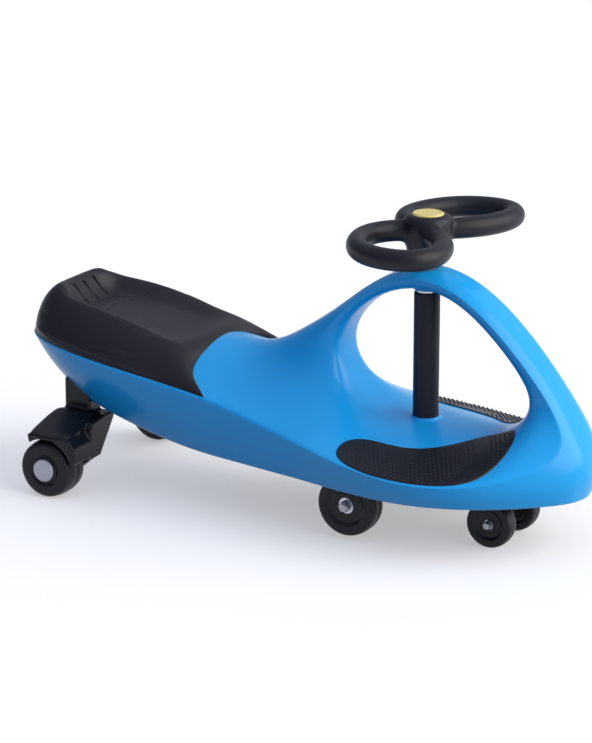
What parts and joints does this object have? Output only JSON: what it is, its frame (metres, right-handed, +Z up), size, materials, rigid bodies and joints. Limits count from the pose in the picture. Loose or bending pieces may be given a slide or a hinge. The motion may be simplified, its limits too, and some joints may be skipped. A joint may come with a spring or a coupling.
{
  "type": "wiggle car",
  "caption": "Ride-on wiggle car: boat-shaped moulded body, arch over the steering column, saddle seat, foot pads, looped steering wheel, steered front wheels, rear wheels on legs",
  "frame": {"origin": "on the floor under the middle of the car's bounding box", "axes": "+X forward, +Y to the rider's left, +Z up"},
  "size_m": [0.797, 0.324, 0.41],
  "materials": {
    "body_blue": "glossy injection-moulded polypropylene, blue",
    "black_plastic": "satin moulded polypropylene, black",
    "seat_black": "satin moulded polypropylene with a soft sheen, black",
    "wheel_black": "fine-grained moulded polypropylene, black",
    "pad_rubber": "dotted non-slip rubber mat, black",
    "tyre_black": "smooth cast polyurethane tread, black",
    "bright_steel": "bright plated steel",
    "steel": "zinc-plated steel",
    "cap_silver": "silver-painted moulded plastic",
    "cap_yellow": "glossy moulded plastic, pale yellow"
  },
  "bodies": {
    "chassis": {"body_shell": "body_blue", "underbody_cover": "black_plastic", "seat": "seat_black", "foot_pad_right": "pad_rubber", "foot_pad_left": "pad_rubber", "upper_bush": "bright_steel", "lower_bush": "bright_steel", "leg_right": "black_plastic", "leg_left": "black_plastic", "rear_pin_right": "steel", "rear_pin_left": "steel", "axle_clips": "steel", "side_bracket_right": "black_plastic", "side_bracket_left": "black_plastic", "side_bolt_right": "steel", "side_bolt_left": "steel", "side_nut_right": "steel", "side_nut_left": "steel", "cover_screws": "steel", "leg_screws": "steel", "seat_screws": "steel", "side_screws": "steel"},
    "steering": {"steering_wheel": "wheel_black", "steering_cap": "cap_yellow", "steering_shaft": "steel", "column_sleeve": "black_plastic", "front_bracket": "black_plastic", "bracket_screw": "steel", "front_axle": "steel", "front_nuts": "steel"},
    "front_wheel_right": {"front_tyre_right": "tyre_black", "front_hub_right": "black_plastic", "front_bearing_right": "bright_steel"},
    "front_wheel_left": {"front_tyre_left": "tyre_black", "front_hub_left": "black_plastic", "front_bearing_left": "bright_steel"},
    "side_wheel_right": {"side_tyre_right": "tyre_black", "side_hub_right": "black_plastic", "side_bearing_right": "bright_steel"},
    "side_wheel_left": {"side_tyre_left": "tyre_black", "side_hub_left": "black_plastic", "side_bearing_left": "bright_steel"},
    "rear_wheel_right": {"rear_tyre_right": "tyre_black", "rear_hub_right": "black_plastic", "hub_cap_right": "cap_silver"},
    "rear_wheel_left": {"rear_tyre_left": "tyre_black", "rear_hub_left": "black_plastic", "hub_cap_left": "cap_silver"}
  },
  "joints": [
    {"name": "steering_turn", "type": "hinge", "parent": "chassis", "child": "steering", "pos_m": [0.16614, 0, 0], "axis": [0, 0, 1], "range_deg": [-60, 60]},
    {"name": "front_wheel_right_spin", "type": "hinge", "parent": "steering", "child": "front_wheel_right", "pos_m": [0.27814, -0.036, 0.031], "axis": [0, 1, 0], "continuous": true},
    {"name": "front_wheel_left_spin", "type": "hinge", "parent": "steering", "child": "front_wheel_left", "pos_m": [0.27814, 0.036, 0.031], "axis": [0, 1, 0], "continuous": true},
    {"name": "side_wheel_right_spin", "type": "hinge", "parent": "chassis", "child": "side_wheel_right", "pos_m": [0.11014, -0.096, 0.047], "axis": [0, 1, 0], "continuous": true},
    {"name": "side_wheel_left_spin", "type": "hinge", "parent": "chassis", "child": "side_wheel_left", "pos_m": [0.11014, 0.096, 0.047], "axis": [0, 1, 0], "continuous": true},
    {"name": "rear_wheel_right_spin", "type": "hinge", "parent": "chassis", "child": "rear_wheel_right", "pos_m": [-0.31186, -0.136, 0.0385], "axis": [0, 1, 0], "continuous": true},
    {"name": "rear_wheel_left_spin", "type": "hinge", "parent": "chassis", "child": "rear_wheel_left", "pos_m": [-0.31186, 0.136, 0.0385], "axis": [0, 1, 0], "continuous": true}
  ]
}
